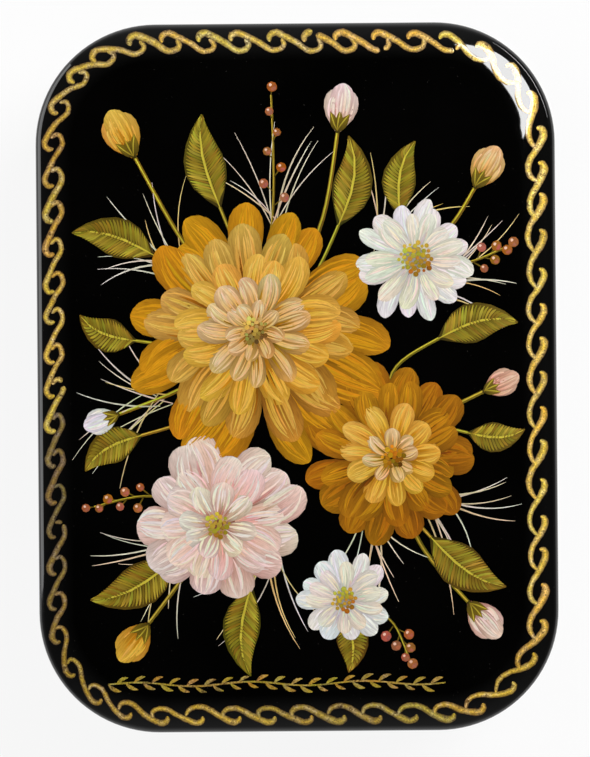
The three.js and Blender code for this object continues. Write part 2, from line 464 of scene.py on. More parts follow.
def makeLid():
    bm = roundedBlock(0, box["parting"] + box["arris"], box["panelBase"] + lid["panelEdge"])
    top, under = endFace(bm, True), endFace(bm, False)
    tilts = [pi / 2 - share * (pi / 2 - lidTilt) for share in shares(lid["rollSteps"])]
    roll = lid["edgeRoll"]
    follow(bm, top, [(roll * (1 - sin(tilt)), roll * cos(tilt)) for tilt in tilts])
    follow(bm, top, [(lid["shoulderReach"] * share, shoulderUp * levelling(share))
                     for share in shares(lid["shoulderSteps"])])
    flatTop = box["panelBase"] + lid["panelEdge"] + rollUp + shoulderUp
    hollowOut(bm, under, lid["wall"], box["panelBase"] - box["parting"])
    hollow = flatTop - box["panelBase"] - lid["panel"]
    reach = rollIn + lid["shoulderReach"] - lid["wall"]
    rings = [(reach * share, -hollow * levelling(share)) for share in shares(lid["hollowSteps"])]
    for face in follow(bm, under, rings):
        face.material_index = 1
    gridFace(bm, flatTop)
    gridFace(bm, box["panelBase"] + hollow)
    for v in bm.verts:
        if v.co.z > box["panelBase"] + tiny:
            v.co.z += crownAt(v.co.x, v.co.y)
    finishShell("lidShell", bm, 1, lid["slotDepth"], "lid_nail_", "lid", ("lid_rim", "lid_panel"))


# body: wall and floor as one lacquered shell
body = {"wall": 3.4, "footRoll": 0.9, "footSteps": 8, "slotDepth": 6.6}


def makeBody():
    bm = roundedBlock(0, body["footRoll"], box["parting"] - box["arris"])
    top, foot = endFace(bm, True), endFace(bm, False)
    turns = [share * pi / 2 for share in shares(body["footSteps"])]
    roll = body["footRoll"]
    follow(bm, foot, [(roll * (1 - cos(turn)), roll * sin(turn)) for turn in turns])
    hollowOut(bm, top, body["wall"], box["parting"] - box["floorTop"])
    finishShell("bodyShell", bm, -1, body["slotDepth"], "body_nail_", "base", ("body_wall", "floor_panel"))


# inner strip whose top is the lip
liner = {"inset": 3.5, "thickness": 1.0, "soften": 0.3, "softSteps": 4}


def makeLiner():
    bm = roundedBlock(liner["inset"], box["floorTop"], topOf("lip_liner"))
    bmesh.ops.delete(bm, geom=[endFace(bm, True), endFace(bm, False)], context="FACES")
    bmesh.ops.solidify(bm, geom=bm.faces[:], thickness=liner["thickness"])
    lip = [e for e in bm.edges if all(v.co.z > topOf("lip_liner") - tiny for v in e.verts)]
    lip = [e for e in lip if any(abs(f.normal.z) < 0.5 for f in e.link_faces)]
    soften(bm, lip, liner["soften"], liner["softSteps"])
    bmesh.ops.recalc_face_normals(bm, faces=bm.faces)
    mesh = meshOf("lipLiner", bm)
    showPiece("lipLiner", mesh, (redInside,), "base", ("lip_liner",))
    print("liner:", len(mesh.polygons), "faces")


# let-in brass hinge

def knuckleTube(start, length):
    # curled knuckle: a tube with softened ends
    bm = bmesh.new()
    loop = bmesh.ops.create_circle(bm, segments=hinge["tubeSides"], radius=hinge["knuckle"])["verts"]
    bmesh.ops.rotate(bm, matrix=Matrix.Rotation(pi / 2, 3, "X"), verts=loop)
    bmesh.ops.translate(bm, vec=(hinge["x"], start, box["parting"]), verts=loop)
    made = bmesh.ops.extrude_edge_only(bm, edges=bm.edges[:])
    far = [g for g in made["geom"] if isinstance(g, bmesh.types.BMVert)]
    bmesh.ops.translate(bm, vec=(0, length, 0), verts=far)
    bmesh.ops.recalc_face_normals(bm, faces=bm.faces)
    bmesh.ops.solidify(bm, geom=bm.faces[:], thickness=hinge["knuckle"] - hinge["bore"])
    soften(bm, rimsOf(bm), hinge["tubeSoft"], 2)
    return bm


def makeLeaf(name, node, side, first, rides):
    # plate with a tab and a knuckle at every second place along the barrel
    low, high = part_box(node)
    front = hingeBack - hinge["leaf"]
    length = (hinge["length"] - (hinge["knuckles"] - 1) * hinge["gap"]) / hinge["knuckles"]
    edge = (high.z if side > 0 else low.z) / mm
    ends = sorted((box["parting"] + side * hinge["groove"], edge))
    tab = sorted((box["parting"], box["parting"] + side * (hinge["groove"] + hinge["lap"])))
    bm = block((front, -hingeHalf, ends[0]), (hingeBack, hingeHalf, ends[1]))
    for place in range(first, hinge["knuckles"], 2):
        start = -hingeHalf + place * (length + hinge["gap"])
        addTo(bm, block((front, start, tab[0]), (hingeBack, start + length, tab[1])))
        addTo(bm, knuckleTube(start, length))
    showPiece(name, meshOf(name, bm), (brass,), rides, (node,))


def makePin():
    # pin with its ends lightly hammered over
    bm = rod(hinge["pin"], hinge["length"], (hinge["x"], 0, box["parting"]), "Y", hinge["pinSides"])
    soften(bm, rimsOf(bm), hinge["pinSoft"], 3)
    showPiece("hingePin", meshOf("hingePin", bm), (brass,), "base", ("hinge_pin",))


def makeNail(name, node, rides):
    # nail filed off at the wall, with a soft burr round its end
    low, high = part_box(node)
    middle, radius = (low + high) / 2 / mm, (high.y - low.y) / 2 / mm
    bm = rod(radius, (high.x - low.x) / mm, middle, "X", hinge["pinSides"])
    soften(bm, [e for e in rimsOf(bm) if e.verts[0].co.x < middle.x], hinge["nailSoft"], 3)
    showPiece(name, meshOf(name, bm), (brass,), rides, (node,))


makeLid()
makeBody()
makeLiner()
makeLeaf("hingeBodyLeaf", "hinge_body_leaf", -1, 0, "base")
makeLeaf("hingeLidLeaf", "hinge_lid_leaf", 1, 1, "lid")
makePin()
for place in ("1", "2"):
    makeNail("bodyNail" + place, "body_nail_" + place, "base")
    makeNail("lidNail" + place, "lid_nail_" + place, "lid")
print("hinge done")


# brushwork: every stroke is a tapering curve, pressed flat and laid on the lid
brush = {
    "seed": 11,
    "clear": 0.008,  # height over the lacquer
    "relief": 0.25,  # thickness of the paint
    "thinnest": 0.003,  # at a stroke's tip, before the relief
    "broadDetail": 4,  # roundness of a broad stroke's section
    "smooth": 40,  # degrees
    "noiseReach": 90,  # millimetres of bristle noise in which the strokes find their places
    "caps": ((0.45, 0.85), (0.8, 0.5), (0.95, 0.12)),  # reach and width of a round end, in half widths
}
rng = random.Random(brush["seed"])
tones = {
    "gold": (222, 193, 98), "paleGold": (234, 210, 128),
    "straw": (240, 204, 108), "amber": (226, 162, 28), "ochre": (200, 134, 20), "rust": (156, 92, 14),
    "umber": (80, 46, 8), "cream": (242, 228, 198), "white": (243, 240, 235), "mist": (196, 192, 188),
    "blush": (238, 204, 188), "rose": (224, 158, 138), "clay": (168, 96, 78),
    "lime": (212, 196, 66), "olive": (138, 114, 28), "moss": (62, 52, 14),
}


def toneOf(name):
    # written as screen colour, used as linear light
    return tuple((c / 255 / 12.92) if c < 11 else ((c / 255 + 0.055) / 1.055) ** 2.4 for c in tones[name])


def mixed(first, last, share):
    return tuple(a + (b - a) * share for a, b in zip(first, last))


def tinted(colour, shade):
    return tuple(c * share for c, share in zip(colour, shade))


def polar(x, y, reach, angle):
    return x + reach * cos(angle), y + reach * sin(angle)


def paced(values):
    # each value with its share of the way along them
    return [(step / (len(values) - 1), value) for step, value in enumerate(values)]


def shifted(colour, amount):
    # hand-mixed colour: a little lighter or darker each time
    return tuple(c * (1 + rng.uniform(-amount, amount)) for c in colour)


def curveMesh(strokes, detail):
    data = bpy.data.curves.new("strokes", "CURVE")
    data.dimensions, data.twist_mode = "3D", "Z_UP"
    data.bevel_depth, data.bevel_resolution = 1, detail
    for stroke in strokes:
        line = data.splines.new("POLY")
        line.points.add(len(stroke["points"]) - 1)
        for spot, (x, y, half) in zip(line.points, stroke["points"]):
            spot.co, spot.radius = (x, y, 0, 1), half
    holder = addObject("strokes", data)
    graph = bpy.context.evaluated_depsgraph_get()
    mesh = bpy.data.meshes.new_from_object(holder.evaluated_get(graph))
    bpy.data.objects.remove(holder)
    bpy.data.curves.remove(data)
    return mesh


def pressStrokes(strokes, detail):
    # flattens round strokes and lays them on the lid, with their colours and brush direction
    raw = curveMesh(strokes, detail)
    bm = bmesh.new()
    bm.from_mesh(raw)
    bpy.data.meshes.remove(raw)
    for old in list(bm.loops.layers.uv):
        bm.loops.layers.uv.remove(old)
    bm.verts.ensure_lookup_table()
    tint = bm.verts.layers.float_color.new("paint")
    along = bm.loops.layers.uv.new("stroke")
    sides = 4 + 2 * detail
    start = 0
    for stroke in strokes:
        points = stroke["points"]
        run, lane = rng.uniform(0, brush["noiseReach"]), rng.uniform(0, brush["noiseReach"])
        for ring, (x, y, half) in enumerate(points):
            colour = mixed(stroke["first"], stroke["last"], ring / (len(points) - 1))
            behind, ahead = points[max(ring - 1, 0)], points[min(ring + 1, len(points) - 1)]
            way = Vector((ahead[0] - behind[0], ahead[1] - behind[1])).normalized()
            run += dist((x, y), behind[:2])
            thick = max(stroke["flat"] * half, brush["thinnest"]) / half
            for v in bm.verts[start:start + sides]:
                across = way.x * (v.co.y - y) - way.y * (v.co.x - x)
                shade = mixed(stroke["edge"], (1, 1, 1), max(v.co.z / half, 0))
                raised = brush["relief"] * (stroke["lift"] + thick * v.co.z)
                v.co.z = lidTop(v.co.x, v.co.y) + brush["clear"] + raised
                v[tint] = (*tinted(colour, shade), 1)
                for loop in v.link_loops:
                    loop[along].uv = (run, lane + across)
            start += sides
    bmesh.ops.holes_fill(bm, edges=[e for e in bm.edges if e.is_boundary], sides=sides)
    return bm


def layStrokes(name, strokes, material):
    bm = pressStrokes([s for s in strokes if not s["wide"]], 0)
    broad = [s for s in strokes if s["wide"]]
    if broad:
        addTo(bm, pressStrokes(broad, brush["broadDetail"]))
    mesh = meshOf(name, bm)
    showPiece(name, mesh, (material,), "lid", sharp=brush["smooth"])
    print(name + ":", len(strokes), "strokes,", len(mesh.polygons), "faces")


def addStroke(out, points, lift, flat, first, last=None, edge=(0.9, 0.9, 0.9), wide=False):
    # colours at its beginning and end; edge shades its two sides
    out.append({"points": points, "lift": lift, "flat": flat, "first": first, "last": last or first,
                "edge": edge, "wide": wide})


# gold scroll round the lid: one stroke for each turn, from the stroke before it to a knob at the outside
border = {
    "turns": 61,
    "outer": 1.0,  # inset of the scroll's outer line
    "middle": 1.75,
    "lift": 0.002,  # of every second stroke
    "flat": 0.12,
    "unit": 100,  # for each millimetre of the shapes
    # along, inwards and half width: a hooked turn and a slack one
    "hooked": [(40, 67, 20), (11, 90, 25), (0, 120, 27), (27, 151, 29), (103, 168, 30), (165, 143, 30),
               (226, 103, 31), (308, 64, 32), (385, 32, 34), (472, -3, 34), (522, 8, 34), (552, 38, 31),
               (548, 66, 25)],
    "slack": [(0, 106, 18), (32, 133, 21), (74, 159, 25), (138, 177, 27), (212, 170, 28), (297, 141, 30),
              (350, 106, 32), (403, 71, 35), (457, 40, 37), (510, 18, 38), (552, 15, 36), (580, 26, 31),
              (592, 40, 22)],
    # millimetres round the lid; then brightness, which is partly painted light and shade (gold dimmer where
    # it caught less light, brighter where a lamp lit it), boldness of the brush, slackness, shift inwards and
    # depth
    "shadeAndHand": [(0, 1.18, 1.1, 0, 0, 1.03), (1.5, 1.08, 1.05, 0, 0, 1), (4, 0.37, 0.95, 0.1, 0.1, 1),
             (20, 0.45, 0.92, 0.2, 0.1, 1), (27, 0.85, 0.95, 0.3, 0, 1), (35, 1.1, 1, 0.4, 0, 1),
             (44, 1.35, 1.05, 0.5, 0, 1), (51, 0.98, 1.1, 0.5, 0, 1), (59, 0.76, 1.15, 0.5, 0, 1),
             (67, 1, 1.1, 0.6, 0.05, 1), (75, 1.25, 1.1, 0.8, 0.2, 1), (95, 1.15, 1.1, 0.95, 0.3, 1),
             (115, 1.15, 1.15, 1, 0.2, 1), (134, 1.3, 1.2, 0.9, 0.1, 1), (150, 1.2, 1.15, 0.6, 0.15, 1.08),
             (160, 1, 1.2, 0.25, 0, 1.15), (185, 0.9, 1.15, 0.15, 0, 1.15), (205, 0.98, 1.1, 0.05, 0, 1.1),
             (228, 1.18, 1.1, 0, 0, 1.03)],
    "broken": 0.14,  # share of turns with a gap in the stroke
    "gaps": (4, 6, 17, 19),  # points at which it may break
    "pale": (0.94, 0.98, 1.3),  # gold where a stroke begins, and at its knob
    "rich": (1.03, 1, 0.72),
    "edge": (0.12, 0.072, 0.02),  # browner at its thin sides
    "fade": (1, 1, 0.6),  # dimmer strokes, dimmed partly as painted shade, are greyer
}


def borderSpot(run, inset):
    # point on the band, counted anticlockwise from the middle of the left side
    turn = (box["corner"] - border["middle"]) * pi / 2
    lengths = (coreY, turn, 2 * coreX, turn, 2 * coreY, turn, 2 * coreX, turn, coreY)
    run %= sum(lengths)
    place = 0
    while run > lengths[place]:
        run -= lengths[place]
        place += 1
    reach = box["corner"] - inset
    if place % 2:
        angle = pi + (place // 2 + run / turn) * pi / 2
        middle = ((-coreX, -coreY), (coreX, -coreY), (coreX, coreY), (-coreX, coreY))[place // 2]
        return polar(*middle, reach, angle)
    return ((-coreX - reach, -run), (-coreX + run, -coreY - reach), (coreX + reach, -coreY + run),
            (coreX - run, coreY + reach), (-coreX - reach, coreY - run))[place // 2]


def smoothLine(points, parts):
    # passes a rounded line through given points
    out = []
    for place in range(len(points) - 1):
        near = [points[min(max(place + k, 0), len(points) - 1)] for k in (-1, 0, 1, 2)]
        for part in range(parts):
            t = part / parts
            out.append(tuple(0.5 * (2 * q + (r - p) * t + (2 * p - 5 * q + 4 * r - s) * t * t
                                    + (3 * q - p - 3 * r + s) * t ** 3) for p, q, r, s in zip(*near)))
    return out + [points[-1]]


def wearAt(run):
    for first, last in zip(border["shadeAndHand"], border["shadeAndHand"][1:]):
        if run <= last[0]:
            return mixed(first[1:], last[1:], (run - first[0]) / (last[0] - first[0]))
    return border["shadeAndHand"][-1][1:]


def roundEnds(points):
    # a loaded brush leaves round ends
    out = list(points)
    for end, near in ((0, 1), (-1, -2)):
        (x, y, half), (x1, y1, _) = points[end], points[near]
        reach = hypot(x - x1, y - y1)
        caps = [(x + (x - x1) / reach * half * far, y + (y - y1) / reach * half * far, half * wide)
                for far, wide in brush["caps"]]
        out = out + caps if end else caps[::-1] + out
    return out


def makeBorder():
    # the hand's unevenness is in the random shares
    strokes = []
    straight = 2 * (box["width"] + box["length"] - 4 * box["corner"])
    pitch = (straight + 2 * pi * (box["corner"] - border["middle"])) / border["turns"]
    for turn in range(border["turns"]):
        run = turn * pitch + rng.uniform(-0.12, 0.12)
        # light is the painted light and shade on this turn of the gold; the rest is the hand's unevenness
        light, bold, slack, shift, deep = wearAt(turn * pitch)
        long = rng.uniform(0.95, 1.04)
        deep *= rng.uniform(0.94, 1.06)
        bold *= rng.uniform(0.88, 1.1)
        slack = min(max(slack + rng.uniform(-0.25, 0.25), 0), 1)
        shape = [mixed(a, b, slack) for a, b in zip(border["hooked"], border["slack"])]
        line = []
        for along, inwards, half in smoothLine(shape, 2):
            inset = border["outer"] + shift + inwards / border["unit"] * deep + rng.uniform(-0.02, 0.02)
            x, y = borderSpot(run + along / border["unit"] * long, inset)
            line.append((x, y, half / border["unit"] * bold * rng.uniform(0.92, 1.08)))
        tone = mixed(toneOf("gold"), toneOf("paleGold"), rng.random())
        # painted light and shade: the turn's gold made brighter or dimmer
        tone = tinted(tone, [light ** power for power in border["fade"]])
        pale, rich = tinted(tone, border["pale"]), tinted(tone, border["rich"])
        parts = [line]
        if rng.random() < border["broken"]:
            gap = rng.choice(border["gaps"])
            parts = [line[:gap], line[gap + 2:]]
        for part in parts:
            if len(part) > 2:
                addStroke(strokes, roundEnds(part), border["lift"] * (turn % 2), border["flat"],
                          shifted(pale, 0.1), shifted(rich, 0.1), border["edge"])
    layStrokes("goldBorder", strokes, gold)


# small gold branch along the foot of the picture
branch = {
    "from": -20.2, "to": 15.4, "height": -32.3,
    "wave": 12, "rise": 0.22,
    "steps": 60, "strokes": 5, "half": 0.09,
    "leaf": 1.45, "space": 0.92,
    "leafHalves": (0.05, 0.13, 0.19, 0.2, 0.14, 0.04),
    "open": 0.95, "close": 0.45,  # way of a leaf's root, and how far it turns in
    "lift": 0.002, "flat": 0.12,
    "dim": (0.65, 0.65, 0.65),
}


def makeBranch():
    strokes = []
    tone = tinted(toneOf("gold"), branch["dim"])
    length = branch["to"] - branch["from"]

    def heightAt(x):
        turn = (x - branch["from"]) / branch["wave"] * 2 * pi
        return branch["height"] + branch["rise"] * sin(turn)

    spots = [branch["from"] + length * step / branch["steps"] for step in range(branch["steps"] + 1)]
    line = [(x, heightAt(x), branch["half"] * rng.uniform(0.8, 1.2)) for x in spots]
    span = branch["steps"] // branch["strokes"]
    for start in range(0, branch["steps"], span):
        part = line[start:start + span + 1]
        addStroke(strokes, part, 0, branch["flat"], shifted(tone, 0.15), shifted(tone, 0.15))
    for place in range(int(length / branch["space"])):
        x, side = branch["from"] + branch["space"] * place, 1 if place % 2 else -1
        size = rng.uniform(0.85, 1.1)
        points = []
        for share, half in paced(branch["leafHalves"]):
            angle = side * (branch["open"] - branch["close"] * share)
            points.append((*polar(x, heightAt(x), branch["leaf"] * size * share, angle), half * size))
        addStroke(strokes, points, branch["lift"], branch["flat"], shifted(tone, 0.2), shifted(tone, 0.2))
    layStrokes("goldBranch", strokes, gold)


makeBorder()
makeBranch()


# bouquet: generic garden flowers, leaves and grasses
bouquet = {
    "lightFrom": radians(125),
    "borderClear": 4.5,  # of the grass, from the box's outline
    # share of the way to the tip, share of the full half width
    "petal": [(0, 0.25), (0.18, 0.5), (0.38, 0.8), (0.56, 0.96), (0.7, 1), (0.82, 0.92), (0.91, 0.7),
              (0.97, 0.4), (1, 0.1)],
    "leaf": [(0, 0.08), (0.12, 0.45), (0.28, 0.85), (0.42, 1), (0.56, 0.94), (0.7, 0.72), (0.84, 0.42),
             (0.94, 0.17), (1, 0.03)],
    "line": (0.35, 0.85, 1, 0.95, 0.7, 0.15),  # share of a fine line's half width
    "lineHalf": (0.06, 0.15),
    "darkLines": 0.3,  # share of them that run from a petal's root
    "vein": (0.05, 0.11, 0.14, 0.11, 0.03),  # half widths
    "veins": 2.6,  # for each millimetre of a leaf
    "veinRoots": (0.04, 0.85),  # where they start, as a first share of the leaf and a span
    "veinSweep": 0.13,  # share of the leaf that each runs along
    "veinReach": 0.92,  # share of the way to the leaf's edge
    "rib": 0.13,
    "petalEdge": (0.76, 0.76, 0.76),
    "groundTone": (0.6, 0.6, 0.6),
    "groundReach": 1.2,  # of the dark ground, over the start of the outer petals
    "heartDot": (0.16, 0.3),  # radii
    "heartTurn": 2.4,  # radians from dot to dot, which spaces them evenly
}
# heights of the paint's layers, before the relief; then of a stroke over the one before it or under it
layers = {"stem": 0.002, "grass": 0.003, "berryStem": 0.004, "stalk": 0.006, "leaf": 0.02, "berry": 0.03,
          "bud": 0.05, "ground": -0.045, "ring": 0.03, "heart": 0.04, "nextPetal": 0.013, "nextDot": 0.01,
          "nextLeaf": 0.012, "nextBlade": 0.002, "budPetal": 0.014, "sepal": 0.05, "sepalLine": 0.052,
          "line": 0.005, "vein": 0.012, "rib": 0.014, "shine": 0.016, "glint": 0.02}
# height of a stroke's back for each millimetre of its half width
flats = {"petal": 0.014, "line": 0.05, "stem": 0.06, "grass": 0.08, "dot": 0.1, "ground": 0.004}
# half widths, sizes and point counts of the green parts; a taper is a full share, less some at each point
greens = {"budStem": 0.24, "leafStem": 0.2, "berryStem": 0.13, "stalk": 0.07, "stemPoints": 14,
          "berry": (0.42, 0.56), "berryTurn": 55, "grassHalf": (0.06, 0.11), "grassLong": (6.5, 12.5),
          "grassParts": 9, "stemTaper": (1.15, 0.025), "shineShift": 0.05, "shineHalf": 0.35,
          "stalkLong": 1.5, "stalkLoss": 0.7}
moss, olive, lime = toneOf("moss"), toneOf("olive"), toneOf("lime")

daisyTones = [("mist", "white", "white"), ("mist", "cream", "white")]
# rings from the outside in: number of petals, where they start and end, half width
# heart: radius, number of dots and their two colours
flowers = {
    "amber": {
        "middle": (-4.5, 5), "lean": 0.1, "leanWay": 2.2, "lift": 0.06, "lines": 15,
        "rings": [(19, 5.5, 14.5, 1.85), (17, 4, 12, 1.7), (15, 2.6, 9.2, 1.5), (12, 1.3, 6.4, 1.25),
                  (9, 0.3, 3.6, 0.9)],
        "tones": [("umber", "ochre", "amber"), ("umber", "ochre", "straw"), ("rust", "amber", "straw"),
                  ("umber", "amber", "cream")],
        "heart": (1.4, 30, "umber", "straw"),
    },
    "russet": {
        "middle": (10, -8.5), "lean": 0.18, "leanWay": -0.8, "lift": 0.05, "lines": 12,
        "rings": [(16, 3.8, 10.5, 1.65), (14, 2.4, 8.4, 1.45), (11, 1.3, 6, 1.2), (8, 0.3, 3.4, 0.8)],
        "tones": [("umber", "rust", "ochre"), ("umber", "rust", "amber"), ("rust", "amber", "straw"),
                  ("umber", "amber", "cream")],
        "heart": (1.2, 22, "umber", "amber"),
    },
    "pink": {
        "middle": (-8.5, -15.5), "lean": 0.15, "leanWay": -2.2, "lift": 0.07, "lines": 12,
        "rings": [(13, 3.2, 9.4, 1.95), (11, 1.9, 7.2, 1.65), (8, 0.6, 4.6, 1.2)],
        "tones": [("clay", "blush", "white"), ("rose", "blush", "white"), ("clay", "cream", "white")],
        "heart": (1.3, 24, "olive", "lime"),
    },
    "daisy": {
        "middle": (12.6, 12.5), "lean": 0.13, "leanWay": 0.8, "lift": 0.08, "lines": 9,
        "rings": [(15, 1.4, 6.8, 1.08), (13, 1.2, 5.6, 0.9)],
        "tones": daisyTones,
        "heart": (1.8, 40, "rust", "lime"),
    },
    "smallDaisy": {
        "middle": (4.8, -23.5), "lean": 0.1, "leanWay": -1.5, "lift": 0.08, "lines": 8,
        "rings": [(12, 1.1, 5.2, 1.02), (10, 0.9, 4.2, 0.82)],
        "tones": daisyTones,
        "heart": (1.3, 26, "rust", "lime"),
    },
}
# place, way, length, half width, bend and the flower it grows from
leaves = [(-15, 13, 150, 9, 2.1, 0.25, "amber"), (-8, 18, 112, 10, 2.2, -0.2, "amber"),
          (4.5, 16, 66, 9.5, 2.1, 0.3, "amber"), (15, 4, 28, 8.5, 2.1, -0.3, "russet"),
          (18, -6, -14, 6, 1.6, 0.3, "russet"), (14, -17, -48, 9.5, 2.3, 0.25, "russet"),
          (5, -25, -74, 6.2, 1.7, -0.25, "smallDaisy"), (-5, -22, -108, 9.5, 2.0, 0.3, "pink"),
          (-13, -19, -140, 10, 2.3, -0.25, "pink"), (-16.5, -6, 195, 7, 1.9, 0.3, "amber"),
          (-17, 4, 172, 6.5, 1.8, -0.3, "amber"), (11, 17, 95, 8, 1.8, -0.3, "daisy")]
# place, way, size, colours and flower
buds = [(-17, 23.5, 118, 5.2, ("rust", "amber", "straw"), "amber"),
        (4.5, 26, 82, 4.8, ("clay", "blush", "white"), "amber"),
        (19, 20, 60, 4.6, ("rust", "amber", "cream"), "daisy"),
        (19.8, -1.6, 25, 3.8, ("clay", "rose", "cream"), "russet"),
        (-19, -3.8, 200, 3.6, ("mist", "white", "white"), "amber"),
        (-16, -26, 232, 4.6, ("rust", "amber", "straw"), "pink"),
        (18, -24, -48, 4.6, ("clay", "blush", "white"), "russet")]
# tip, way, number of berries and flower
berries = [(-2.5, 29.8, 92, 7, "amber"), (22.2, 13.6, 25, 6, "daisy"), (-21.5, -13.5, 195, 7, "pink"),
           (11.5, -29.5, -70, 6, "smallDaisy")]
# tufts of grass: root, way, fan and number
tufts = [(-12, 11, 140, 40, 9), (-2, 16, 96, 46, 9), (9, 14, 66, 34, 8), (14.5, 9.5, 16, 30, 10),
         (14, -13, -36, 44, 10), (7.5, -15, -82, 30, 9), (-3, -18, -100, 30, 8), (-12, -17, -142, 44, 10),
         (-14, -2, 186, 56, 12)]


def widthAt(profile, share):
    for (a, wide), (b, wider) in zip(profile, profile[1:]):
        if share <= b:
            return wide + (wider - wide) * (share - a) / (b - a)
    return profile[-1][1]


def towards(angle, way):
    # 1 for an angle along the way, falling to 0 for its opposite
    return 0.5 + 0.5 * cos(angle - way)


def bladeSpot(blade, share, side):
    # point on a petal or leaf: share of the way to its tip, side from -1 to 1
    reach = blade["start"] + (blade["end"] - blade["start"]) * share
    turn = blade["angle"] + blade["bend"] * share * share
    wide = blade["half"] * widthAt(blade["profile"], share) * side
    x, y = polar(*blade["middle"], reach, turn)
    return x - wide * sin(turn), y + wide * cos(turn)


def bladeOf(middle, angle, start, end, half, bend, profile):
    # one petal or leaf
    return {"middle": middle, "angle": angle, "start": start, "end": end, "half": half, "bend": bend,
            "profile": bouquet[profile]}


def bladeBody(out, blade, lift, first, last):
    points = [(*bladeSpot(blade, share, 0), blade["half"] * wide) for share, wide in blade["profile"]]
    addStroke(out, points, lift, flats["petal"], first, last, bouquet["petalEdge"], True)


def bladeLine(out, blade, lift, side, low, high, half, first, last, drift=0.0):
    # fine line along a petal or leaf
    points = [(*bladeSpot(blade, min(low + (high - low) * run, 1), side + drift * run), half * wide)
              for run, wide in paced(bouquet["line"])]
    over = flats["petal"] * blade["half"] * sqrt(1 - side * side) + layers["line"]
    addStroke(out, points, lift + over, flats["line"], first, last)


def petal(out, blade, lift, colours, lines):
    # one broad stroke, then fine lines: a third run dark from its root, the others light to its tip
    dark, mid, light = (toneOf(name) for name in colours)
    lit = towards(blade["angle"], bouquet["lightFrom"])
    base = shifted(mixed(dark, mid, 0.12 + 0.3 * lit), 0.12)
    bladeBody(out, blade, lift, base, shifted(mixed(mid, light, 0.2 + 0.4 * lit), 0.1))
    for line in range(lines):
        side = rng.uniform(-0.85, 0.85)
        if rng.random() < bouquet["darkLines"]:
            low, high = rng.uniform(0, 0.15), rng.uniform(0.35, 0.75)
            first, last = shifted(dark, 0.2), shifted(mixed(dark, mid, 0.7), 0.2)
        else:
            low, high = rng.uniform(0.1, 0.5), rng.uniform(0.8, 1.0)
            first = shifted(mixed(mid, light, 0.15), 0.15)
            last = shifted(mixed(mid, light, 0.5 + 0.5 * lit * rng.random()), 0.1)
        half = rng.uniform(*bouquet["lineHalf"]) * (0.6 + blade["half"] / 3)
        bladeLine(out, blade, lift, side, low, high, half, first, last, -0.25 * side)


def dot(out, x, y, radius, lift, colour, flat=flats["dot"]):
    angle = rng.uniform(0, 3.14)
    points = [(*polar(x, y, radius * share, angle), radius * (1.04 - share * share) ** 0.5)
              for share in (-1, -0.7, 0, 0.7, 1)]
    addStroke(out, points, lift, flat, colour)


def heart(out, spec):
    # dotted middle of a flower
    radius, count, dark, light = spec["heart"]
    lift = spec["lift"] + layers["ring"] * len(spec["rings"]) + layers["heart"]
    for place in range(count):
        reach, angle = radius * sqrt((place + 0.5) / count), place * bouquet["heartTurn"]
        x, y = polar(*spec["middle"], reach, angle)
        lit = 0.5 + 0.5 * cos(angle - bouquet["lightFrom"]) * reach / radius
        tone = mixed(toneOf(dark), toneOf(light), lit)
        size = rng.uniform(*bouquet["heartDot"])
        dot(out, x, y, size, lift + layers["nextDot"] * (place % 3), shifted(tone, 0.25))


def flower(out, spec):
    # dark ground between the petals, then ring on ring, each over the one outside it
    dark = tinted(toneOf(spec["tones"][0][0]), bouquet["groundTone"])
    ground = spec["rings"][0][1] * bouquet["groundReach"]
    dot(out, *spec["middle"], ground, spec["lift"] + layers["ground"], dark, flats["ground"])
    for ring, (count, start, end, half) in enumerate(spec["rings"]):
        offset = rng.uniform(0, 6.28)
        colours = spec["tones"][min(ring, len(spec["tones"]) - 1)]
        for place in range(count):
            angle = offset + (place + rng.uniform(-0.18, 0.18)) / count * 2 * pi
            squeeze = 1 - spec["lean"] * towards(angle, spec["leanWay"])
            blade = bladeOf(spec["middle"], angle, start * squeeze, end * squeeze * rng.uniform(0.9, 1.06),
                            half * rng.uniform(0.85, 1.12), rng.uniform(-0.22, 0.22), "petal")
            lift = spec["lift"] + layers["ring"] * ring + layers["nextPetal"] * (place % 2)
            petal(out, blade, lift, colours, spec["lines"])
    heart(out, spec)


def leaf(out, x, y, angle, length, half, bend, lift):
    # dark blade, side veins that are lighter on one side, and a light rib
    blade = bladeOf((x, y), radians(angle), 0, length, half, bend, "leaf")
    bladeBody(out, blade, lift, shifted(moss, 0.2), shifted(mixed(moss, olive, 0.6), 0.2))
    over = lift + layers["vein"] + flats["petal"] * half
    count = length * bouquet["veins"]
    root, span = bouquet["veinRoots"]
    sweep, reach = bouquet["veinSweep"], bouquet["veinReach"]
    for vein in range(int(count)):
        share = root + span * vein / count
        for side, bright in ((-1, 0.3), (1, 0.75)):
            points = []
            for run, wide in paced(bouquet["vein"]):
                spot = bladeSpot(blade, min(share + sweep * run, 1), side * reach * run)
                points.append((*spot, wide * rng.uniform(0.8, 1.25)))
            tone = mixed(olive, lime, bright * rng.random())
            first, last = shifted(mixed(moss, tone, 0.6), 0.2), shifted(tone, 0.2)
            addStroke(out, points, over, flats["line"], first, last)
    bladeLine(out, blade, lift + layers["rib"], 0, 0, 0.97, bouquet["rib"], mixed(olive, lime, 0.8), lime)


def sprig(out, x, y, angle, length, bend, half, lift, first, last):
    # one blade of grass, curling towards its tip: narrow at its root, widest at a third, then thinning
    points = []
    parts = greens["grassParts"]
    for step in range(parts + 1):
        share = step / parts
        points.append((x, y, half * (0.45 + 0.55 * min(share * 3, 1)) * (1 - share) ** 0.6 + 0.015))
        x, y = polar(x, y, length / parts, radians(angle) + bend * share)
    addStroke(out, points, lift, flats["grass"], first, last)


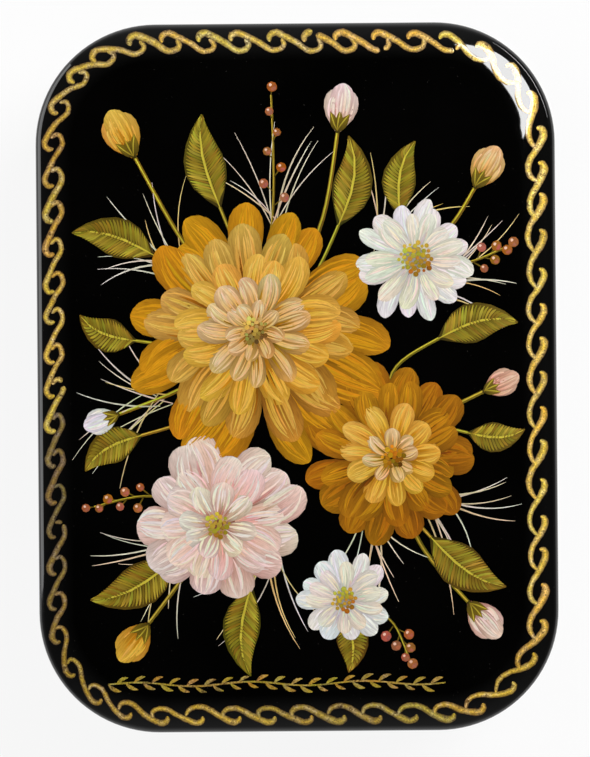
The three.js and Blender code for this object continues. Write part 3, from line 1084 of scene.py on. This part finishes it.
def stem(out, root, x, y, angle, half, lift):
    # bowed stem from under a flower, meeting its leaf or bud along its own way, with a light line on it
    start, end = Vector(flowers[root]["middle"]), Vector((x, y))
    way = Vector((cos(radians(angle)), sin(radians(angle))))
    knee = end - way * (end - start).length / 2
    line = interpolate_bezier(start, knee, knee, end, greens["stemPoints"])
    full, taper = greens["stemTaper"]
    points = [(*spot, half * (full - taper * step)) for step, spot in enumerate(line)]
    addStroke(out, points, lift, flats["stem"], shifted(moss, 0.2), shifted(mixed(moss, olive, 0.8), 0.15))
    shift, thin = greens["shineShift"], greens["shineHalf"]
    light = [(x - shift, y + shift, half * thin) for x, y, half in points[2:]]
    lift += layers["shine"]
    addStroke(out, light, lift, flats["stem"], shifted(olive, 0.2), shifted(lime, 0.2))
    return points


# lean of petals and green points in radians; lengths and half widths as shares of the bud's size
budShape = {"petals": (-0.32, 0.32, 0), "outer": 0.9, "inner": 1.05, "petalHalf": 0.26, "curl": 0.8,
            "points": (-0.5, 0.5, 0), "point": 0.45, "pointHalf": 0.1, "lines": 10,
            "pointRoot": -0.3, "pointLine": 0.07}  # in millimetres


def bud(out, x, y, angle, size, colours, lift):
    # three closed petals, held by three green points
    way = radians(angle)
    for place, turn in enumerate(budShape["petals"]):
        end = size * budShape["outer" if turn else "inner"]
        half, bend = size * budShape["petalHalf"], -turn * budShape["curl"]
        blade = bladeOf((x, y), way + turn, 0, end, half, bend, "petal")
        petal(out, blade, lift + layers["budPetal"] * place, colours, budShape["lines"])
    for turn in budShape["points"]:
        end, half = size * budShape["point"], size * budShape["pointHalf"]
        blade = bladeOf((x, y), way + turn, budShape["pointRoot"], end, half, 0, "leaf")
        bladeBody(out, blade, lift + layers["sepal"], moss, olive)
        bladeLine(out, blade, lift + layers["sepalLine"], 0.2, 0.1, 0.95, budShape["pointLine"], olive, lime)


def berrySprig(out, x, y, angle, count, root):
    # berries on short stalks, left and right of a thin stem; each has a lighter side and a glint
    spine = stem(out, root, x, y, angle, greens["berryStem"], layers["berryStem"])
    low, clay = layers["berry"], toneOf("clay")
    for place, (x, y, _) in enumerate(spine[-count:]):
        side = greens["berryTurn"] if place % 2 else -greens["berryTurn"]
        turn = radians(angle + side * (1 - place / count))
        tip = polar(x, y, greens["stalkLong"] - greens["stalkLoss"] * place / count, turn)
        stalk = [(*mixed((x, y), tip, share), greens["stalk"]) for share in (0, 0.5, 1)]
        addStroke(out, stalk, layers["stalk"], flats["stem"], moss, olive)
        size = rng.uniform(*greens["berry"])
        x, y = tip
        dot(out, x, y, size, low, shifted(mixed(clay, toneOf("rust"), rng.random()), 0.2))
        dot(out, x + size * 0.2, y - size * 0.2, size * 0.6, low + layers["glint"], shifted(clay, 0.2))
        dot(out, x - size * 0.3, y + size * 0.35, size * 0.3, low + 2 * layers["glint"], toneOf("blush"))


def makeLeaves():
    strokes = []
    white, straw = toneOf("white"), toneOf("straw")
    for x, y, way, fan, count in tufts:
        for place in range(count):
            angle = way + fan * ((place + 0.5) / count - 0.5) * 2 * rng.uniform(0.8, 1)
            bend = (0.5 if angle > way else -0.5) * rng.uniform(0.3, 1.6)
            tone = mixed(straw, white, rng.random() ** 0.6)
            length, turn = rng.uniform(*greens["grassLong"]), radians(angle) + bend / 2
            while insetAt(*polar(x, y, length, turn)) < bouquet["borderClear"]:
                length -= 0.5
            sprig(strokes, x + rng.uniform(-1, 1), y + rng.uniform(-1, 1), angle, length, bend,
                  rng.uniform(*greens["grassHalf"]), layers["grass"] + layers["nextBlade"] * (place % 3),
                  shifted(mixed(olive, tone, 0.4), 0.2), shifted(tone, 0.1))
    for spray in berries:
        berrySprig(strokes, *spray)
    for x, y, angle, _, _, root in buds:
        stem(strokes, root, x, y, angle, greens["budStem"], layers["stem"])
    for number, (x, y, angle, length, half, bend, root) in enumerate(leaves):
        stem(strokes, root, x, y, angle, greens["leafStem"], layers["stem"])
        leaf(strokes, x, y, angle, length, half, bend, layers["leaf"] + layers["nextLeaf"] * (number % 2))
    layStrokes("leaves", strokes, paint)


def makeFlowers():
    big, small = [], []
    for name, spec in flowers.items():
        flower(big if name == "amber" else small, spec)
    for x, y, angle, size, colours, _ in buds:
        bud(small, x, y, angle, size, colours, layers["bud"])
    layStrokes("bigFlower", big, paint)
    layStrokes("smallFlowers", small, paint)


makeLeaves()
makeFlowers()


# stage: pale floor, studio lights and the camera over the lid
view = {
    "frame": (590, 757),  # pixels
    "scale": 9.44,  # pixels for each millimetre at the lid's edge
    "aim": (-0.22, -0.12),  # millimetres from the box's middle to the picture's middle
    "roll": -0.47,  # degrees
    "distance": 560,  # millimetres above the lid's edge
    "sensor": 36,
    "clip": (0.01, 20),  # metres
}


def makeCamera():
    data = bpy.data.cameras.new("camera")
    data.sensor_width = view["sensor"]
    tall = view["frame"][1] / view["scale"]
    data.lens = data.sensor_width * view["distance"] / tall
    data.clip_start, data.clip_end = view["clip"]
    camera = addObject("camera", data)
    height = box["panelBase"] + lid["panelEdge"] + view["distance"]
    camera.location = Vector((*view["aim"], height)) * mm
    camera.rotation_euler = (0, 0, radians(view["roll"]))
    bpy.context.scene.camera = camera


# millimetres, and the share of plain white where the floor is seen or mirrored
floor = {"half": 4000, "drop": 0.05, "white": 0.9}


def larger(first, second):
    node = addNode(first.id_data, "ShaderNodeMath", operation="MAXIMUM")
    wire(node, {0: first, 1: second})
    return node.outputs["Value"]


def blended(share, first, last):
    node = addNode(share.id_data, "ShaderNodeMixShader")
    wire(node, {0: share, 1: first, 2: last})
    return node.outputs["Shader"]


def makeFloor():
    bm = bmesh.new()
    bmesh.ops.create_grid(bm, x_segments=1, y_segments=1, size=floor["half"])
    bmesh.ops.translate(bm, vec=(0, 0, -floor["drop"]), verts=bm.verts)
    material, tree, shader = newMaterial("paleFloor")
    tint = ramp(objectNoise(tree, 12, 3), [(0.3, 0.80), (0.7, 0.84)])
    wire(shader, {"Base Color": tint, "Roughness": 0.9, "Specular IOR Level": 0.1})
    paths = addNode(tree, "ShaderNodeLightPath").outputs
    mirrored = larger(paths["Is Glossy Ray"], paths["Is Transmission Ray"])
    seen = spread(larger(paths["Is Camera Ray"], mirrored), 0, floor["white"])
    white = addNode(tree, "ShaderNodeEmission", Strength=1)
    above = blended(seen, shader.outputs["BSDF"], white.outputs["Emission"])
    facing = addNode(tree, "ShaderNodeNewGeometry")
    clear = addNode(tree, "ShaderNodeBsdfTransparent")
    surface = blended(facing.outputs["Backfacing"], above, clear.outputs["BSDF"])  # clear from below
    wire(tree.nodes["Material Output"], {"Surface": surface})
    mesh = meshOf("floor", bm)
    mesh.materials.append(material)
    addObject("floor", mesh)


# soft lamps, in metres and watts; the lacquer shows only the mirrored one
lamps = {
    "cornerFill": {"place": (0.52, 0.4, 0.46), "aim": (0.022, 0.027, 0.03), "size": (0.6, 0.14),
                   "power": 2.35, "mirrored": False},
    "leftPanel": {"place": (-0.7, 0.32, 0.28), "aim": (0, 0.32, 0.28), "size": (0.76, 0.56),
                  "power": 4.1, "mirrored": True},
}


def makeLamps():
    for name, spec in lamps.items():
        data = bpy.data.lights.new(name, "AREA")
        data.shape = "RECTANGLE"
        data.size, data.size_y = spec["size"]
        data.energy = spec["power"]
        lamp = addObject(name, data)
        lamp.location = spec["place"]
        lamp.rotation_euler = (Vector(spec["place"]) - Vector(spec["aim"])).to_track_quat("Z", "Y").to_euler()
        lamp.visible_camera, lamp.visible_glossy = False, spec["mirrored"]


# bent strip light over the corner away from the hinge
strip = {
    "reach": 900,
    "middle": (22, 27, 30),
    "strength": 19,
    "steps": 5,
    # way round, and lean of its upper and lower edge, in degrees: the broad light and a thin one below it
    "broad": [(8.5, 26.3, 26.5), (11, 26.2, 28.2), (15, 26, 30), (19, 26.8, 32.7), (28, 27.1, 38),
              (45, 27.5, 39.5), (56, 28.8, 38.5), (65, 31.2, 36.2), (71, 32.4, 35), (77, 33.4, 33.7)],
    "thin": [(14, 55, 56), (24, 54, 57), (50, 54, 57), (60, 55, 56)],
}


def makeStrip():
    bm = bmesh.new()
    for shape in (strip["broad"], strip["thin"]):
        last = None
        for side, *leans in smoothLine(shape, strip["steps"]):
            pair = []
            for lean in leans:
                way = Vector((0, 0, strip["reach"]))
                way.rotate(Euler((0, radians(lean), radians(side))))
                pair.append(bm.verts.new(way + Vector(strip["middle"])))
            if last:
                bm.faces.new((*last, *pair[::-1]))
            last = pair
    material, tree, _ = newMaterial("stripLight")
    glow = addNode(tree, "ShaderNodeEmission", Strength=strip["strength"])
    wire(tree.nodes["Material Output"], {"Surface": glow.outputs["Emission"]})
    mesh = meshOf("stripLight", bm)
    mesh.materials.append(material)
    lamp = addObject("stripLight", mesh)
    lamp.visible_camera = lamp.visible_shadow = False


def makeWorld():
    # dark overhead, so that the lacquer stays black from above, and pale towards the horizon
    world = bpy.data.worlds.new("studio")
    bpy.context.scene.world = world
    world.use_nodes = True
    tree = world.node_tree
    place = addNode(tree, "ShaderNodeTexCoord")
    split = addNode(tree, "ShaderNodeSeparateXYZ", Vector=place.outputs["Generated"])
    fade = ramp(split.outputs["Z"], [(0, (0.92, 0.92, 0.93)), (0.2, (0.72, 0.72, 0.73)), (0.6, 0.36),
                                     (0.78, 0.22), (0.91, 0.004)])
    across = spread(split.outputs["X"], 0, 1, -1, 1)  # dark cards left and right
    cards = ramp(across, [(0.2, 0.35), (0.42, 1), (0.55, 1), (0.85, 0.25)])
    paths = addNode(tree, "ShaderNodeLightPath")
    level = larger(cards, paths.outputs["Is Camera Ray"])
    wire(tree.nodes["Background"], {"Color": fade, "Strength": level})


makeCamera()
makeFloor()
makeStrip()
makeWorld()
makeLamps()
bpy.context.scene.view_settings.view_transform = "Standard"
print("stage ready")
